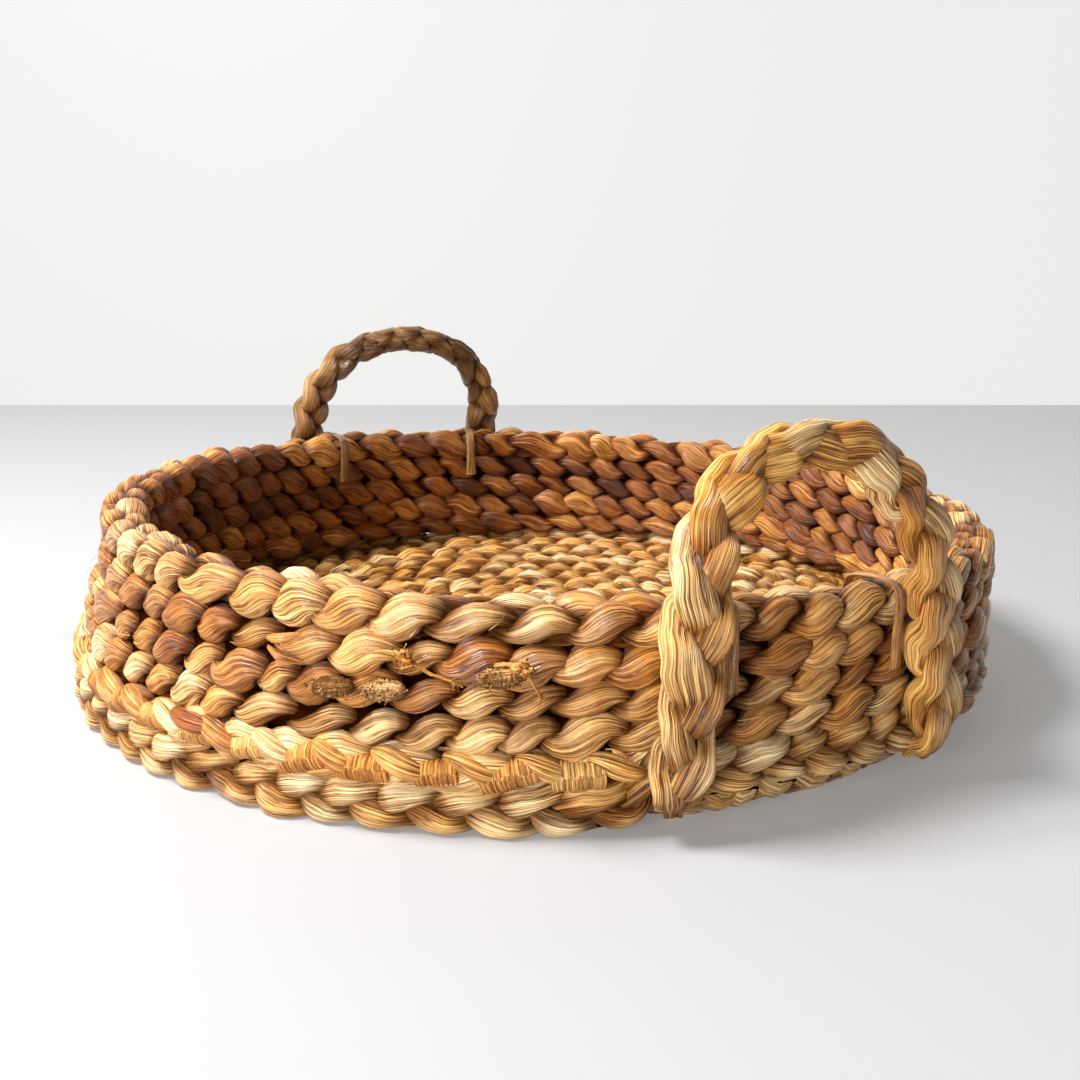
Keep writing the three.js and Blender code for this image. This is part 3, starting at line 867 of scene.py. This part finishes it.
# ---------------------------------------------------------------- stage
def panel(name, corners, colour, glow):
    """A plain flat surface round the basket."""
    mesh = bpy.data.meshes.new(name)
    mesh.from_pydata([tuple(c) for c in corners], [], [(0, 1, 2, 3)])
    board = bpy.data.objects.new(name, mesh)
    bpy.context.scene.collection.objects.link(board)
    n = Nodes(name + "_paint")
    n.shader.inputs["Base Color"].default_value = colour
    n.shader.inputs["Roughness"].default_value = 0.6
    n.shader.inputs["Emission Color"].default_value = glow
    n.shader.inputs["Emission Strength"].default_value = 1.0
    mesh.materials.append(n.material)


def make_stage():
    corners = ((-1, -1), (1, -1), (1, 1), (-1, 1))
    table = [Vector((x, y, 0)) * TABLE_REACH for x, y in corners]
    panel("table", table, TABLE_COLOUR, TABLE_GLOW)
    middle = direction(FRONT_AZIMUTH + 180) * BACKDROP_BEHIND
    side = direction(FRONT_AZIMUTH + 90) * BACKDROP_WIDTH / 2
    top = UP_VECTOR * BACKDROP_HEIGHT
    panel("backdrop", [middle - side, middle + side, middle + side + top, middle - side + top],
          BACKDROP_COLOUR, BACKDROP_GLOW)


def direction(azimuth, elevation=0.0):
    a, e = math.radians(azimuth), math.radians(elevation)
    return Vector((math.cos(a) * math.cos(e), math.sin(a) * math.cos(e), math.sin(e)))


def make_light(name, target, azimuth, elevation, power):
    data = bpy.data.lights.new(name, "AREA")
    data.shape = "DISK"
    data.size = LIGHT_SIZE
    data.energy = power
    lamp = bpy.data.objects.new(name, data)
    lamp.location = target + direction(azimuth, elevation) * LIGHT_DISTANCE
    lamp.rotation_euler = (target - lamp.location).to_track_quat("-Z", "Y").to_euler()
    bpy.context.scene.collection.objects.link(lamp)


def make_world():
    world = bpy.data.worlds.new("studio")
    world.use_nodes = True
    background = world.node_tree.nodes["Background"]
    background.inputs["Color"].default_value = SKY_COLOUR
    background.inputs["Strength"].default_value = SKY_STRENGTH
    bpy.context.scene.world = world


def make_camera():
    rim = Vector(centre_of("rim_plait"))
    ahead = direction(FRONT_AZIMUTH + 180)
    right = direction(FRONT_AZIMUTH + 90)
    place = Vector((rim.x, rim.y, CAMERA_HEIGHT)) - ahead * CAMERA_DISTANCE - right * CAMERA_ASIDE
    data = bpy.data.cameras.new("camera")
    data.lens = CAMERA_LENS
    data.sensor_width = CAMERA_SENSOR
    camera = bpy.data.objects.new("camera", data)
    camera.location = place
    look = ahead - UP_VECTOR * math.tan(CAMERA_PITCH)
    camera.rotation_euler = look.to_track_quat("-Z", "Y").to_euler()
    bpy.context.scene.collection.objects.link(camera)
    bpy.context.scene.camera = camera


def main():
    make_camera()
    straw = leaf_material("leaf_straw", STRAW, MAUVE, SPLIT_AND_SHADE_DARK)
    gold = leaf_material("leaf_gold", GOLD, linear(206, 160, 100), SPLIT_AND_SHADE_DARK)
    plait("wall_plait_lower", ring_line("wall_plait_lower"), WALL, straw, (0.35, 0.8), 1)
    plait("wall_plait_middle", ring_line("wall_plait_middle"), WALL, straw, (0.3, 0.7), 2)
    plait("wall_plait_upper", ring_line("wall_plait_upper"), WALL, straw, (0.3, 0.66), 3)
    plait("rim_plait", ring_line("rim_plait"), RIM, straw, (0.4, 0.85), 4)
    plait("base_edge_plait", ring_line("base_edge_plait", True), BASE, gold, (0.6, 1.0), 5)
    plait("wrapped_course", ring_line("wrapped_course"), WRAPPED, straw, (0.4, 0.85), 6)
    bindings(gold)
    glossy_leaf(leaf_material("leaf_amber", AMBER, linear(150, 86, 30), SPLIT_AND_SHADE_DARK, 0.7))
    loose_fibres(gold)
    plait("handle_front", handle_line("handle_front"), HANDLE, gold, (0.4, 0.85), 7)
    olive = leaf_material("leaf_olive", OLIVE, MAUVE, SPLIT_AND_SHADE_DARK)
    plait(
        "handle_back", handle_line("handle_back"), BACK_HANDLE, olive, (0.1, 0.8), 8)
    plait("floor_coil", floor_line(), FLOOR, gold, (0.45, 1.0), 9)
    button(gold)
    lashing_paint = leaf_material("lashing_leaf", LASHING, linear(190, 140, 84), SPLIT_AND_SHADE_DARK)
    twine_paint = leaf_material("sewing_twine", TWINE, linear(214, 140, 60), linear(110, 60, 20))
    stalk_paint = leaf_material("stalk_pith", PITH, linear(120, 84, 54), SPLIT_AND_SHADE_DARK, 0.15)
    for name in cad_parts:
        if "lashing" in name:
            lashing(name, olive if "back" in name else lashing_paint)
        elif "twine_tail" in name:
            knot_and_tail(name, twine_paint)
        elif "stalk_stub" in name:
            stalk_end(name, stalk_paint)
    make_stage()
    target = Vector(centre_of("rim_plait"))
    make_light("window", target, **WINDOW)
    make_light("fill", target, **FILL)
    make_world()
    bpy.context.scene.view_settings.view_transform = "Standard"


main()
